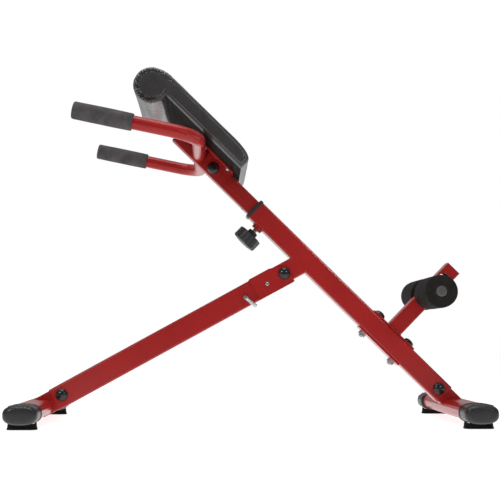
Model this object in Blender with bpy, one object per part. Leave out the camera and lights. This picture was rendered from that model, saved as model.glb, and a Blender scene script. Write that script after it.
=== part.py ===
"""Roman chair (45 degree hyperextension bench) with a folding front leg and a sliding seat post.

Metres, +Z up. +X runs towards the ankle rollers, Y runs across the bench, and the origin is on the
floor under the middle of the bench. Three frames carry the parts:
  tube_frame  at the upper end of the main sleeve; its X runs down the sleeve, its Z stands off it
  seat_slide  on the same axis; carries everything that slides in the sleeve
  leg_fold    on the front leg's hinge; its X runs up the leg towards the hinge
"""
import math

import bmesh
import bpy
from mathutils import Matrix, Vector

# Main sleeve and its slope
SLOPE = math.radians(44.4)
SLEEVE_TOP = Vector((0.0166, 0.0, 0.5200))
SLEEVE_LENGTH = 0.652
TUBE = 0.050
TUBE_WALL = 0.0025
TUBE_CORNER = 0.004
FIT = 0.0003                    # gap between pieces that touch

# Seat post, handlebar and pad, measured along the sleeve's axis from its upper end
POST = 0.040
POST_WALL = 0.002
POST_TOP = -0.265
POST_BOTTOM = 0.250
LOCK_HOLE_PITCH = 0.030
HANDLE_AT = -0.193
HANDLE_SLOPE = math.radians(11.57)
HANDLE_SPACING = 0.590
HANDLE_BEND = 0.065
HANDLE_RADIUS = 0.016
GRIP_FROM = -0.2873
GRIP_TO = -0.1502
GRIP_RADIUS = 0.020
PAD_WIDTH = 0.435
PAD_END = -0.080
PAD_NOSE = 0.070                # run over which the pad's top curves down to its lower end
PAD_NOSE_BASE = 0.048
PAD_TOP = 0.0662
PAD_BASE = 0.0253
ROLL_CENTRE = (-0.3648, 0.0185)
ROLL_RADIUS = 0.0423
BRACKET_BOLT_AT = -0.145
PAD_SCREWS_AT = (-0.194, -0.117)
PAD_SCREW_OUT = 0.045

# Clamp knob under the sleeve
KNOB_AT = 0.036
KNOB_RADIUS = 0.0315
SCREW_RADIUS = 0.006
THREAD_PITCH = 0.00175

# Front leg
HINGE = Vector((0.0878, 0.0, 0.3613))
LEG_SLOPE = math.radians(28.7)
LEG_HEIGHT = 0.055
LEG_DROP = 0.002                # the leg's centre line lies this far under the hinge
LEG_TOP = -0.0395
LEG_END = -0.640
STUB_LIFT = 0.001
LEG_BOLT_AT = -0.617
RIVET_AT = (-0.049, 0.0, -0.003)
LOCK_PIN_AT = (-0.1137, -0.0045)

# Feet
FOOT_X = 0.510
FOOT_Z = 0.0345
CROSSBAR_LENGTH = 0.598
CAP_OUTER = 0.312
CAP_LENGTH = 0.078
CAP_DEPTH = 0.0443
CAP_SAG = 0.0010                # a cap hangs this far below the crossbar's middle
REAR_BOLT_AT = 0.631

# Ankle post and rollers
ANKLE_AT = 0.4535
ANKLE_PLATE = 0.136
ANKLE_BOLTS = 0.049             # each side of the post's axis
PLATE = 0.0035
ANKLE_POST_TOP = 0.2415
AXLE_UP = 0.153
SPARE_HOLE_UP = 0.2045
AXLE_RADIUS = 0.013
AXLE_HOLE = 0.014
ROLLER_RADIUS = 0.039
ROLLER_INNER = 0.0245
ROLLER_OUTER = 0.178

# Cross bolts and their domed caps
BOLT_RADIUS = 0.005
HEAD_FLATS = 0.017
HEAD_HEIGHT = 0.0060
CAP_RADIUS = 0.0148
CAP_HEIGHT = 0.0105

SMOOTH_ANGLE = math.radians(40)
TAU = 2 * math.pi


# ---------------------------------------------------------------- scene, frames and materials

for old in list(bpy.data.objects):
    bpy.data.objects.remove(old, do_unlink=True)


def make_material(name, colour, roughness, metallic=0.0):
    material = bpy.data.materials.new(name)
    material.use_nodes = True
    shader = material.node_tree.nodes["Principled BSDF"]
    shader.inputs["Base Color"].default_value = (*colour, 1.0)
    shader.inputs["Roughness"].default_value = roughness
    shader.inputs["Metallic"].default_value = metallic
    material.diffuse_color = (*colour, 1.0)
    return material


RED = make_material("red_paint", (0.30, 0.016, 0.018), 0.22)
BLACK = make_material("black_plastic", (0.012, 0.012, 0.013), 0.30)
VINYL = make_material("black_vinyl", (0.018, 0.017, 0.018), 0.42)
FOAM = make_material("black_foam", (0.020, 0.019, 0.019), 0.85)
RUBBER = make_material("black_rubber", (0.010, 0.010, 0.010), 0.70)
GRIP_FOAM = make_material("grip_foam", (0.040, 0.038, 0.038), 0.80)
STEEL = make_material("zinc_steel", (0.55, 0.55, 0.56), 0.30, 1.0)
GREY = make_material("grey_plastic", (0.12, 0.11, 0.12), 0.45)
WOOD = make_material("plywood", (0.32, 0.20, 0.11), 0.70)


def make_frame(name, location, turn=0.0, parent=None):
    """An empty whose axes are turned about Y; location and turn are in the parent's own axes."""
    frame = bpy.data.objects.new(name, None)
    bpy.context.scene.collection.objects.link(frame)
    frame.parent = parent
    frame.location = location
    frame.rotation_euler = (0.0, turn, 0.0)
    return frame


def in_frame(origin, turn, point):
    """World point as seen from a frame at origin, turned about Y."""
    return Matrix.Rotation(-turn, 3, 'Y') @ (Vector(point) - Vector(origin))


tube_frame = make_frame("tube_frame", SLEEVE_TOP, SLOPE)
seat_slide = make_frame("seat_slide", (0, 0, 0), 0.0, tube_frame)
leg_fold = make_frame("leg_fold", HINGE, -LEG_SLOPE)
handle_frame = make_frame("handle_frame", (HANDLE_AT, 0, 0), HANDLE_SLOPE - SLOPE, seat_slide)
rear_foot_frame = make_frame("rear_foot_frame", (FOOT_X, 0, FOOT_Z))
front_foot_frame = make_frame("front_foot_frame", in_frame(HINGE, -LEG_SLOPE, (-FOOT_X, 0, FOOT_Z)),
                              LEG_SLOPE, leg_fold)
FRONT_FOOT_RUN = (Vector((-FOOT_X, 0, FOOT_Z)) - HINGE).length


# ---------------------------------------------------------------- shapes

def finish(name, bm, material, parent, location=(0, 0, 0), rotation=(0, 0, 0)):
    bmesh.ops.remove_doubles(bm, verts=bm.verts[:], dist=1e-6)
    bmesh.ops.recalc_face_normals(bm, faces=bm.faces[:])
    mesh = bpy.data.meshes.new(name)
    bm.to_mesh(mesh)
    bm.free()
    mesh.shade_smooth()
    mesh.set_sharp_from_angle(angle=SMOOTH_ANGLE)
    if material:
        mesh.materials.append(material)
    piece = bpy.data.objects.new(name, mesh)
    bpy.context.scene.collection.objects.link(piece)
    piece.parent = parent
    piece.location = location
    piece.rotation_euler = rotation
    return piece


def guide(piece):
    """Marks a cutter or a union partner, which isn't a part of its own."""
    piece.hide_render = True
    piece.display_type = 'WIRE'
    return piece


def boolean(piece, other, operation):
    guide(other)
    modifier = piece.modifiers.new(operation.lower(), 'BOOLEAN')
    modifier.operation = operation
    modifier.solver = 'EXACT'
    modifier.object = other


def cut(piece, *cutters):
    for cutter in cutters:
        boolean(piece, cutter, 'DIFFERENCE')


def arc(centre, radius, start, end, steps):
    """Points on an arc, both ends included; angles in degrees."""
    points = []
    for i in range(steps + 1):
        a = math.radians(start + (end - start) * i / steps)
        points.append((centre[0] + radius * math.cos(a), centre[1] + radius * math.sin(a)))
    return points


def rounded_rect(width, height, radius, steps=3, centre=(0.0, 0.0)):
    w, h = width / 2 - radius, height / 2 - radius
    points = []
    for x, y, start in ((w, h, 0), (-w, h, 90), (-w, -h, 180), (w, -h, 270)):
        points += arc((centre[0] + x, centre[1] + y), radius, start, start + 90, steps)
    return points


def stadium(width, height, steps=9):
    """Flat oval, its long side along the first axis."""
    r = height / 2
    w = width / 2 - r
    return arc((w, 0), r, -90, 90, steps) + arc((-w, 0), r, 90, 270, steps)


def bridge_rings(bm, rings, closed=False):
    """Skins a list of equal rings of points; ends are filled unless the list is closed."""
    loops = [[bm.verts.new(p) for p in ring] for ring in rings]
    count = len(loops[0])
    pairs = list(zip(loops, loops[1:] + loops[:1])) if closed else list(zip(loops, loops[1:]))
    for a, b in pairs:
        for i in range(count):
            j = (i + 1) % count
            bm.faces.new((a[i], a[j], b[j], b[i]))
    if not closed:
        bm.faces.new(loops[0][::-1])
        bm.faces.new(loops[-1])


def prism_x(name, outline, start, end, material=None, parent=None):
    """Outline in Y, Z pushed along X; an end may be a function of Z, for a slanted cut."""
    at = lambda limit, z: limit(z) if callable(limit) else limit
    bm = bmesh.new()
    bridge_rings(bm, [[(at(limit, z), y, z) for y, z in outline] for limit in (start, end)])
    return finish(name, bm, material, parent)


def prism_y(name, outline, start, end, material=None, parent=None, location=(0, 0, 0)):
    """Outline in X, Z pushed along Y."""
    bm = bmesh.new()
    bridge_rings(bm, [[(x, y, z) for x, z in outline] for y in (start, end)])
    return finish(name, bm, material, parent, location)


def prism_z(name, outline, start, end, material=None, parent=None, location=(0, 0, 0)):
    """Outline in X, Y pushed along Z."""
    bm = bmesh.new()
    bridge_rings(bm, [[(x, y, z) for x, y in outline] for z in (start, end)])
    return finish(name, bm, material, parent, location)


def turned(name, profile, axis, material=None, parent=None, location=(0, 0, 0), sides=24,
           ring=False):
    """Profile of (height, radius) turned about an axis; ring says that the profile closes on itself."""
    place = {'X': lambda h, a, b: (h, a, b),
             'Y': lambda h, a, b: (b, h, a),
             'Z': lambda h, a, b: (a, b, h)}[axis]
    bm = bmesh.new()
    rings = []
    for height, radius in profile:
        rings.append([place(height, radius * math.cos(TAU * i / sides),
                            radius * math.sin(TAU * i / sides)) for i in range(sides)])
    bridge_rings(bm, rings, closed=ring)
    return finish(name, bm, material, parent, location)


def rod_cutter(axis, radius, start, end, parent, location=(0, 0, 0), sides=24):
    return turned("cutter", [(start, radius), (end, radius)], axis, None, parent, location, sides)


def hex_outline(flats):
    radius = flats / math.sqrt(3)
    return [(radius * math.cos(TAU * i / 6), radius * math.sin(TAU * i / 6)) for i in range(6)]


def swept_tube(name, path, outer, inner, material, parent, sides=24):
    """Round tube, open at both ends, along a path that lies in the X, Y plane."""
    rings = {outer: [], inner: []}
    for i, point in enumerate(path):
        ahead = path[min(i + 1, len(path) - 1)] - path[max(i - 1, 0)]
        side = Vector((0, 0, 1)).cross(ahead.normalized())
        for radius in (outer, inner):
            rings[radius].append([point + radius * (math.cos(TAU * k / sides) * side
                                                    + math.sin(TAU * k / sides) * Vector((0, 0, 1)))
                                  for k in range(sides)])
    bm = bmesh.new()
    bridge_rings(bm, rings[outer] + rings[inner][::-1], closed=True)
    return finish(name, bm, material, parent)


# ---------------------------------------------------------------- bolts, nuts and caps

def cross_bolt(name, location, half_grip, parent):
    """Bolt along Y with its hexagon head on the near side and its nut run up on the far side."""
    bolt = turned(name, [(-half_grip - HEAD_HEIGHT / 2, BOLT_RADIUS),
                         (half_grip + HEAD_HEIGHT + 0.0015, BOLT_RADIUS)], 'Y', STEEL, parent,
                  location, sides=16)
    head = prism_y("head", hex_outline(HEAD_FLATS), -half_grip - HEAD_HEIGHT, -half_grip, None,
                   parent, location)
    nut = prism_y("nut", hex_outline(HEAD_FLATS), half_grip, half_grip + HEAD_HEIGHT, None,
                  parent, location)
    boolean(bolt, head, 'UNION')
    boolean(bolt, nut, 'UNION')
    return bolt


def bolt_cap(name, axis, side, base, parent, location):
    """Hollow domed cap over a bolt head; side is +1 or -1 along its axis."""
    wall, rim, steps = 0.0022, 0.0025, 4
    profile = [(CAP_HEIGHT - wall, 0.0060), (0.0070, CAP_RADIUS - 0.0034), (0.0, CAP_RADIUS - wall),
               (0.0, CAP_RADIUS), (rim, CAP_RADIUS)]
    for i in range(1, steps + 1):
        a = math.radians(82 * i / steps)
        profile.append((rim + (CAP_HEIGHT - rim) * math.sin(a), CAP_RADIUS * math.cos(a)))
    return turned(name, [(side * (base + h), r) for h, r in profile], axis, BLACK, parent, location,
                  sides=18)


def capped_cross_bolt(name, location, half_grip, parent):
    cross_bolt(name, location, half_grip + FIT, parent)
    for side, hand in ((-1, "left"), (1, "right")):
        bolt_cap(f"{name}_cap_{hand}", 'Y', side, half_grip + FIT, parent, location)


# ---------------------------------------------------------------- main frame

def build_main_frame():
    sleeve = prism_x("main_frame", rounded_rect(TUBE, TUBE, TUBE_CORNER), 0, SLEEVE_LENGTH, RED,
                     tube_frame)
    between = SLOPE + LEG_SLOPE
    hinge_depth = -in_frame(SLEEVE_TOP, SLOPE, HINGE).z

    def reach(z, level):
        """Where a line along the leg at height z meets the plane at level under the sleeve's axis."""
        return (hinge_depth - level - math.cos(between) * z) / math.sin(between)

    stub = prism_x("stub", rounded_rect(TUBE, TUBE, TUBE_CORNER, centre=(0, STUB_LIFT)),
                   LEG_TOP + 0.0005, lambda z: reach(z, 0.020), None, leg_fold)
    boolean(sleeve, stub, 'UNION')
    bore = TUBE - 2 * TUBE_WALL
    cut(sleeve, prism_x("bore", rounded_rect(bore, bore, 0.0015, steps=1), -0.01,
                        SLEEVE_LENGTH + 0.01, None, tube_frame))
    cut(sleeve, prism_x("stub_bore", rounded_rect(bore, bore, 0.0015, 1, (0, STUB_LIFT)),
                        -0.06, lambda z: reach(z, TUBE / 2 - 0.0004), None, leg_fold))
    swing = -LEG_TOP - 0.0005
    nose = [(-0.060, 0.0)] + arc((0, 0), swing, 180, 220, 4) + [(-0.028, -0.035), (-0.060, -0.035)]
    cut(sleeve, prism_y("nose", nose, -0.04, 0.04, None, leg_fold))
    cut(sleeve, rod_cutter('Y', BOLT_RADIUS + FIT, -0.04, 0.04, leg_fold, sides=16))
    cut(sleeve, rod_cutter('Y', BOLT_RADIUS + FIT, -0.04, 0.04, tube_frame, (REAR_BOLT_AT, 0, 0), 16))
    cut(sleeve, rod_cutter('Z', SCREW_RADIUS + 0.0006, -0.04, -0.01, tube_frame, (KNOB_AT, 0, 0)))
    for side in (-1, 1):
        at = (ANKLE_AT + side * ANKLE_BOLTS, 0, 0)
        cut(sleeve, rod_cutter('Z', BOLT_RADIUS + FIT, -0.04, 0.04, tube_frame, at, 16))


def build_sleeve_bushing():
    """Plastic collar over the sleeve's mouth, with a liner between the sleeve and the seat post."""
    rings = []
    for x, size in ((-0.0058, 0.0500), (-0.0048, 0.0532), (-0.0034, 0.0542), (0.0022, 0.0542),
                    (0.0035, 0.0526)):
        rings.append([(x, y, z) for y, z in rounded_rect(size, size, 0.006)])
    bm = bmesh.new()
    bridge_rings(bm, rings)
    collar = finish("sleeve_bushing", bm, BLACK, tube_frame)
    cut(collar, prism_x("pocket", rounded_rect(TUBE + 2 * FIT, TUBE + 2 * FIT, TUBE_CORNER), -FIT,
                        0.010, None, tube_frame))
    liner = TUBE - 2 * TUBE_WALL - 0.0008
    boolean(collar, prism_x("liner", rounded_rect(liner, liner, 0.003, 2), -0.003, 0.024, None,
                            tube_frame), 'UNION')
    cut(collar, prism_x("cutter", rounded_rect(POST + 0.0008, POST + 0.0008, 0.0034), -0.02, 0.04,
                        None, tube_frame))


def build_clamp_knob():
    """Boss welded under the sleeve, and the screw knob whose pin locks or frees the seat post."""
    under = -TUBE / 2
    boss = turned("sleeve_boss", [(under - FIT, 0.0138), (under - 0.0070, 0.0138),
                                  (under - 0.0085, 0.0122)], 'Z', RED, tube_frame, (KNOB_AT, 0, 0), 24)
    cut(boss, rod_cutter('Z', SCREW_RADIUS + FIT, -0.05, -0.01, tube_frame, (KNOB_AT, 0, 0)))

    knob_travel = make_frame("knob_travel", (KNOB_AT, 0, 0), 0.0, tube_frame)
    knob_turn = make_frame("knob_turn", (0, 0, 0), 0.0, knob_travel)
    hub_face = -0.0405
    head_top = -0.0505
    head_bottom = -0.0785

    screw_end = -POST / 2 - 0.0068
    crest, root = SCREW_RADIUS, SCREW_RADIUS - 0.0008
    thread = [(screw_end, root)]
    level = screw_end - 0.0006
    while level > hub_face + 0.0012:
        thread += [(level, crest), (level - THREAD_PITCH / 2, root)]
        level -= THREAD_PITCH
    thread += [(hub_face - 0.0040, root), (hub_face - 0.0180, root)]
    screw = turned("lock_screw", thread, 'Z', STEEL, knob_turn, sides=16)
    cut(screw, rod_cutter('Z', 0.0033, screw_end - 0.0080, 0.0, knob_turn, sides=12))

    tip_top = -POST / 2 - 0.0004
    turned("lock_pin_tip", [(screw_end - 0.0075, 0.0030), (screw_end + FIT, 0.0030),
                            (screw_end + FIT, 0.0045), (tip_top - 0.0010, 0.0045),
                            (tip_top, 0.0036)], 'Z', STEEL, knob_travel, sides=12)

    lobes = 8
    outline = []
    for i in range(lobes * 4):
        a = TAU * i / (lobes * 4)
        outline.append((a, KNOB_RADIUS - 0.0022 * (0.5 - 0.5 * math.cos(lobes * a))))
    rings = []
    for height, shrink in ((head_top, 0.0020), (head_top - 0.0015, 0.0), (head_bottom + 0.0030, 0.0),
                           (head_bottom, 0.0025), (head_bottom - 0.0018, 0.0120)):
        rings.append([((r - shrink) * math.cos(a), (r - shrink) * math.sin(a), height)
                      for a, r in outline])
    bm = bmesh.new()
    bridge_rings(bm, rings)
    knob = finish("lock_knob", bm, BLACK, knob_turn)
    hub = turned("hub", [(hub_face, 0.0112), (hub_face - 0.0012, 0.0125), (head_top, 0.0132),
                         (head_top - 0.0040, 0.0132)], 'Z', None, knob_turn, sides=24)
    boolean(knob, hub, 'UNION')
    cut(knob, rod_cutter('Z', root + FIT, hub_face - 0.0180 - FIT, 0.0, knob_turn, sides=16))


# ---------------------------------------------------------------- seat group

def build_seat_post():
    post = prism_x("seat_post", rounded_rect(POST, POST, 0.003), POST_TOP, POST_BOTTOM, RED,
                   seat_slide)
    bore = POST - 2 * POST_WALL
    cut(post, prism_x("bore", rounded_rect(bore, bore, 0.001, 1), POST_TOP - 0.01,
                      POST_BOTTOM + 0.01, None, seat_slide))
    cut(post, rod_cutter('Y', HANDLE_RADIUS + FIT, -0.03, 0.03, seat_slide, (HANDLE_AT, 0, 0), 24))
    cut(post, rod_cutter('Y', BOLT_RADIUS + FIT, -0.03, 0.03, seat_slide, (BRACKET_BOLT_AT, 0, 0), 16))
    for step in range(-2, 5):
        at = (KNOB_AT + step * LOCK_HOLE_PITCH, 0, 0)
        cut(post, rod_cutter('Z', 0.0052, -0.03, -0.01, seat_slide, at, 12))
    plug = prism_x("seat_post_plug", rounded_rect(POST, POST, 0.003), POST_TOP - 0.0030,
                   POST_TOP - FIT, BLACK, seat_slide)
    boolean(plug, prism_x("spigot", rounded_rect(bore - 0.0006, bore - 0.0006, 0.001, 1),
                          POST_TOP - 0.001, POST_TOP + 0.014, None, seat_slide), 'UNION')


def build_handlebar():
    half = HANDLE_SPACING / 2
    corner = half - HANDLE_BEND
    steps = 6
    path = [Vector((GRIP_FROM + 0.004, -half, 0))]
    path += [Vector((x, y, 0)) for x, y in arc((-HANDLE_BEND, -corner), HANDLE_BEND, -90, 0, steps)]
    path += [Vector((x, y, 0)) for x, y in arc((-HANDLE_BEND, corner), HANDLE_BEND, 0, 90, steps)]
    path += [Vector((GRIP_FROM + 0.004, half, 0))]
    swept_tube("handlebar", path, HANDLE_RADIUS, HANDLE_RADIUS - 0.002, RED, handle_frame)
    for side, hand in ((-1, "left"), (1, "right")):
        bore = HANDLE_RADIUS + FIT
        profile = [(GRIP_TO, bore), (GRIP_TO, GRIP_RADIUS - 0.001), (GRIP_TO - 0.001, GRIP_RADIUS),
                   (GRIP_FROM + 0.004, GRIP_RADIUS), (GRIP_FROM + 0.0012, GRIP_RADIUS - 0.0012),
                   (GRIP_FROM, GRIP_RADIUS - 0.005), (GRIP_FROM, 0.004),
                   (GRIP_FROM + 0.0035, 0.004), (GRIP_FROM + 0.0035, bore)]
        turned(f"grip_{hand}", profile, 'X', GRIP_FOAM, handle_frame, (0, side * half, 0), 20, True)


def pad_outline():
    """Side view of the pad: a flat cushion whose upper end rolls over towards the underside."""
    blend = 0.080
    rise = ROLL_CENTRE[1] - (PAD_TOP - blend)
    run = math.sqrt((blend - ROLL_RADIUS) ** 2 - rise ** 2)
    blend_centre = (ROLL_CENTRE[0] + run, PAD_TOP - blend)
    meet = math.degrees(math.atan2(rise, -run))
    base = PAD_BASE + FIT
    points = [(PAD_END, base), (PAD_END, PAD_NOSE_BASE)]
    for i in range(1, 6):
        a = math.radians(90 * i / 5)
        points.append((PAD_END - PAD_NOSE * (1 - math.cos(a) ** 0.83),
                       PAD_NOSE_BASE + (PAD_TOP - PAD_NOSE_BASE) * math.sin(a) ** 0.83))
    points += arc(blend_centre, blend, 90, meet, 3)
    points += arc(ROLL_CENTRE, ROLL_RADIUS, meet, 360, 16)[1:]
    points.append((-0.215, base))
    return points


def build_pad():
    board_box = (-0.318, -0.092)
    board_top = PAD_BASE + 0.010
    half = PAD_WIDTH / 2 - 0.008
    cushion = prism_y("pad_cushion", pad_outline(), -PAD_WIDTH / 2, PAD_WIDTH / 2, VINYL, seat_slide)
    cut(cushion, prism_x("cutter", rounded_rect(2 * half + 0.001, 0.060, 0.001, 1,
                                                (0, board_top + 0.0005 - 0.030)),
                         board_box[0] - 0.0005, board_box[1] + 0.0005, None, seat_slide))
    board = prism_x("pad_board", rounded_rect(2 * half, 0.0097, 0.001, 1,
                                              (0, board_top - 0.00485)), *board_box, WOOD, seat_slide)
    for number, (x, side) in enumerate(((x, s) for x in PAD_SCREWS_AT for s in (-1, 1)), 1):
        at = (x, side * PAD_SCREW_OUT, 0)
        cut(board, rod_cutter('Z', 0.0033, 0.0, board_top - 0.0015, seat_slide, at, 12))
        head = 0.0204
        screw = turned(f"pad_screw_{number}",
                       [(head - 0.0038, 0.0030), (head - 0.0026, 0.0052), (head - FIT, 0.0060),
                        (head - FIT, 0.0029), (board_top - 0.0020, 0.0029)], 'Z', STEEL,
                       seat_slide, at, 12)
        cut(screw, prism_z("socket", hex_outline(0.0035), head - 0.0060, head - 0.0020, None,
                           seat_slide, at))


def build_pad_bracket():
    """Bent plate: a flat carries the pad and two ears straddle the seat post."""
    plate_low, plate_high = 0.0204, PAD_BASE - FIT
    bracket = prism_x("pad_bracket", rounded_rect(0.124, plate_high - plate_low, 0.0005, 1,
                                                  (0, (plate_low + plate_high) / 2)),
                      -0.207, -0.100, RED, seat_slide)
    ear = [(-0.180, 0.022), (-0.174, -0.006)] + arc((-0.166, -0.004), 0.008, 200, 270, 3) \
        + arc((-0.110, -0.004), 0.008, 270, 340, 3) + [(-0.096, 0.012), (-0.100, 0.022)]
    ear_in = POST / 2 + FIT
    for side in (-1, 1):
        boolean(bracket, prism_y("ear", ear, side * ear_in, side * (ear_in + 0.004), None,
                                 seat_slide), 'UNION')
    cut(bracket, rod_cutter('Y', BOLT_RADIUS + FIT, -0.04, 0.04, seat_slide,
                            (BRACKET_BOLT_AT, 0, 0), 16))
    for x in PAD_SCREWS_AT:
        for side in (-1, 1):
            cut(bracket, rod_cutter('Z', 0.0033, 0.0, 0.04, seat_slide,
                                    (x, side * PAD_SCREW_OUT, 0), 12))
    capped_cross_bolt("bracket_bolt", (BRACKET_BOLT_AT, 0, 0), ear_in + 0.004, seat_slide)


# ---------------------------------------------------------------- front leg

PLATE_IN = TUBE / 2 + FIT
PLATE_OUT = PLATE_IN + 0.004


def build_front_leg():
    leg = prism_x("front_leg", rounded_rect(TUBE, LEG_HEIGHT, TUBE_CORNER, 3, (0, -LEG_DROP)),
                  LEG_END, LEG_TOP, RED, leg_fold)
    wall = 0.002
    cut(leg, prism_x("bore", rounded_rect(TUBE - 2 * wall, LEG_HEIGHT - 2 * wall, 0.0015, 1,
                                          (0, -LEG_DROP)), LEG_END - 0.01, LEG_TOP + 0.01, None,
                     leg_fold))
    cut(leg, rod_cutter('Y', BOLT_RADIUS + FIT, -0.04, 0.04, leg_fold, (LEG_BOLT_AT, 0, 0), 16))
    cut(leg, rod_cutter('Y', 0.0047, -0.04, 0.04, leg_fold, (LOCK_PIN_AT[0], 0, LOCK_PIN_AT[1]), 16))
    cut(leg, rod_cutter('Y', 0.0039, -0.04, 0.04, leg_fold, RIVET_AT, 16))

    outline = [(-0.084, -0.0295), (0.0135, -0.0295), (0.0135, 0.006)]
    outline += arc((0, 0.004), 0.0138, 10, 70, 4)
    outline += [(-0.0275, 0.0280), (-0.084, 0.0280)]
    for side, hand in ((-1, "left"), (1, "right")):
        plate = prism_y(f"hinge_plate_{hand}", outline, side * PLATE_IN, side * PLATE_OUT, RED,
                        leg_fold)
        cut(plate, rod_cutter('Y', BOLT_RADIUS + FIT, -0.04, 0.04, leg_fold, sides=16))
        cut(plate, rod_cutter('Y', 0.0039, -0.04, 0.04, leg_fold, RIVET_AT, 16))
    capped_cross_bolt("hinge_bolt", (0, 0, 0), PLATE_OUT, leg_fold)
    capped_cross_bolt("front_foot_bolt", (LEG_BOLT_AT, 0, 0), TUBE / 2, leg_fold)

    out = PLATE_OUT + FIT
    turned("leg_rivet", [(-out - 0.0022, 0.0030), (-out - 0.0012, 0.0044), (-out, 0.0047),
                         (-out, 0.0036), (out, 0.0036), (out, 0.0047), (out + 0.0012, 0.0044),
                         (out + 0.0022, 0.0030)], 'Y', STEEL, leg_fold, RIVET_AT, 12)


def build_lock_pin():
    """L-shaped pin through the leg: a round shaft along Y and an arm that hangs past the leg."""
    slide = make_frame("lock_pin_slide", (LOCK_PIN_AT[0], 0, LOCK_PIN_AT[1]),
                       math.radians(-22.4), leg_fold)
    radius, bend, sides = 0.0044, 0.007, 12
    bend_y = -0.0340
    path = [Vector((0, 0.0355, 0)), Vector((0, 0.0350, 0)), Vector((0, bend_y, 0))]
    path += [Vector((0, bend_y - bend * math.sin(math.radians(a)),
                     -bend * (1 - math.cos(math.radians(a))))) for a in (22.5, 45, 67.5, 90)]
    path += [Vector((0, bend_y - bend, -0.0360)), Vector((0, bend_y - bend, -0.0370))]
    rings = []
    for i, point in enumerate(path):
        ahead = (path[min(i + 1, len(path) - 1)] - path[max(i - 1, 0)]).normalized()
        across = Vector((1, 0, 0))
        up = across.cross(ahead)
        size = radius * (0.7 if i in (0, len(path) - 1) else 1.0)
        rings.append([point + size * (math.cos(TAU * k / sides) * across
                                      + math.sin(TAU * k / sides) * up) for k in range(sides)])
    bm = bmesh.new()
    bridge_rings(bm, rings)
    finish("lock_pin", bm, STEEL, slide)


# ---------------------------------------------------------------- feet

def build_stabilizer(name, foot_frame, neck_frame, neck_height, neck_start, neck_end, lift, bolt_at):
    """Flat oval crossbar with a welded neck that plugs into the end of a tube."""
    bar_outline = stadium(0.070, 0.038)
    half = CROSSBAR_LENGTH / 2
    bar = prism_y(name, bar_outline, -half, half, RED, foot_frame)
    neck_width = TUBE - 2 * 0.0025 - 0.0006
    boolean(bar, prism_x("neck", rounded_rect(neck_width, neck_height, 0.003, 3, (0, lift)),
                         neck_start, neck_end, None, neck_frame), 'UNION')
    cut(bar, prism_x("neck_bore", rounded_rect(neck_width - 0.004, neck_height - 0.004, 0.001, 1,
                                               (0, lift)),
                     neck_start - math.copysign(0.01, neck_end - neck_start),
                     neck_end - math.copysign(0.034, neck_end - neck_start), None, neck_frame))
    cut(bar, prism_y("bar_bore", stadium(0.066, 0.034), -half - 0.01, half + 0.01, None, foot_frame))
    cut(bar, rod_cutter('Y', BOLT_RADIUS + FIT, -0.04, 0.04, neck_frame, (bolt_at, 0, 0), 16))


def build_end_cap(name, side, foot_frame):
    """Moulded cap: flat oval shell with a soft outer end, an inner collar and grip ribs on top."""
    outer, inner = CAP_OUTER, CAP_OUTER - CAP_LENGTH
    rings = []
    for y, width, height in ((inner, 0.0765, 0.0425), (inner + 0.0020, 0.0800, 0.0460),
                             (inner + 0.0095, 0.0800, 0.0460), (inner + 0.0115, 0.0765, 0.0428),
                             (inner + 0.0150, 0.0780, CAP_DEPTH), (outer - 0.0090, 0.0780, CAP_DEPTH),
                             (outer - 0.0030, 0.0720, 0.0385), (outer, 0.0600, 0.0265)):
        rings.append([(x, side * y, z - CAP_SAG) for x, z in stadium(width, height)])
    bm = bmesh.new()
    bridge_rings(bm, rings)
    cap = finish(name, bm, BLACK, foot_frame)
    for k in range(7):
        x = (k - 3) * 0.0082
        rib = [(x - 0.0024, 0.0200), (x - 0.0012, 0.0224), (x + 0.0012, 0.0224), (x + 0.0024, 0.0200)]
        boolean(cap, prism_y("rib", rib, side * (inner + 0.022), side * (outer - 0.010), None,
                             foot_frame), 'UNION')
    cut(cap, prism_y("pocket", stadium(0.0706, 0.0386), side * (inner - 0.01),
                     side * (CROSSBAR_LENGTH / 2 + FIT), None, foot_frame))


def build_foot_pad(name, side, foot_frame):
    """Rubber block under a cap, hollowed on top to the cap's underside."""
    near, far = CAP_OUTER - 0.0655, CAP_OUTER - 0.0305
    rings = []
    for z, grow in ((-FOOT_Z, 0.0), (-FOOT_Z + 0.0012, 0.0008), (-FOOT_Z + 0.0060, -0.0006),
                    (-0.0185, -0.0014)):
        width, depth = 0.066 + 2 * grow, far - near + 2 * grow
        rings.append([(x, y, z) for x, y in rounded_rect(width, depth, 0.013, 5,
                                                         (0, side * (near + far) / 2))])
    bm = bmesh.new()
    bridge_rings(bm, rings)
    pad = finish(name, bm, RUBBER, foot_frame)
    seat = [(x, z - CAP_SAG) for x, z in stadium(0.0786, CAP_DEPTH + 2 * FIT)]
    cut(pad, prism_y("cutter", seat, side * 0.20, side * 0.34, None, foot_frame))


def build_feet():
    build_stabilizer("rear_stabilizer", rear_foot_frame, tube_frame, TUBE - 0.0056, 0.590,
                     0.692, 0.0, REAR_BOLT_AT)
    build_stabilizer("front_stabilizer", front_foot_frame, leg_fold, LEG_HEIGHT - 0.0046,
                     -0.575, -FRONT_FOOT_RUN, -LEG_DROP, LEG_BOLT_AT)
    capped_cross_bolt("rear_foot_bolt", (REAR_BOLT_AT, 0, 0), TUBE / 2, tube_frame)
    for place, frame in (("front", front_foot_frame), ("rear", rear_foot_frame)):
        for side, hand in ((-1, "left"), (1, "right")):
            build_end_cap(f"{place}_end_cap_{hand}", side, frame)
            build_foot_pad(f"{place}_foot_pad_{hand}", side, frame)


# ---------------------------------------------------------------- ankle post and rollers

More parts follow.
